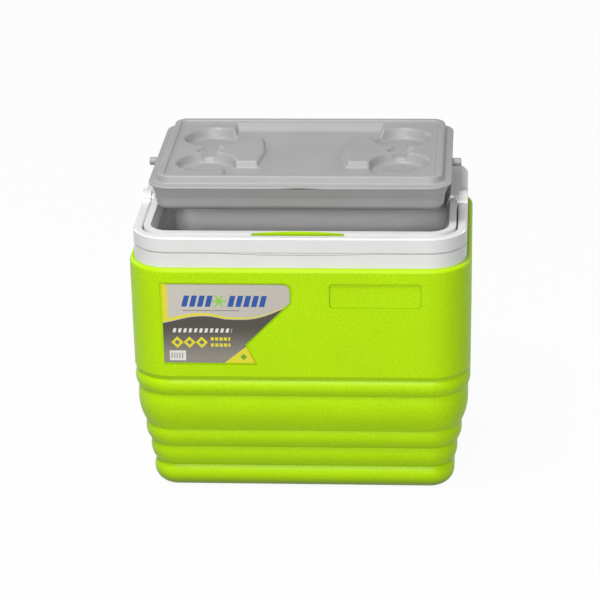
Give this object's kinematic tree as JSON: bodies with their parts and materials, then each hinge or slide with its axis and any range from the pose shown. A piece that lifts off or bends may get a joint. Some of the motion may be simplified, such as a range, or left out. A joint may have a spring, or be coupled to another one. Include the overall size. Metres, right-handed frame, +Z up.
{
  "type": "insulated picnic cooler",
  "caption": "Ribbed insulated picnic cooler with a bail handle that snaps into a collar and a lift-off lid with drink wells.",
  "frame": {"origin": "middle of the base, on the surface the cooler stands on", "axes": "+X to the right seen from the front, -Y towards the front, +Z up"},
  "size_m": [0.42, 0.304, 0.405],
  "materials": {
    "shell_plastic": "lime green polyethylene with a fine pebbled grain",
    "liner_plastic": "smooth mid grey plastic, satin",
    "lid_plastic": "smooth mid grey plastic, satin",
    "white_plastic": "smooth white moulded plastic",
    "label_film": "printed film in silver grey, yellow and charcoal",
    "foam": "rigid expanded foam"
  },
  "bodies": {
    "chest": {"outer_shell": "shell_plastic", "insulation_core": "foam", "inner_liner": "liner_plastic", "top_collar": "white_plastic", "front_label": "label_film", "base_filling_plug": "shell_plastic"},
    "handle": {"bail_handle": "white_plastic"},
    "lid": {"lid_top": "lid_plastic", "lid_pan": "lid_plastic", "lid_insulation": "foam", "lid_filling_plug": "lid_plastic"}
  },
  "joints": [
    {"name": "handle_swing", "type": "hinge", "parent": "chest", "child": "handle", "pos_m": [0, 0, 0.338], "axis": [-1, 0, 0], "range_deg": [0, 90]},
    {"name": "lid_lift", "type": "slide", "parent": "chest", "child": "lid", "axis": [0, 0.342, 0.9397], "range_m": [-0.05002, 0]}
  ]
}
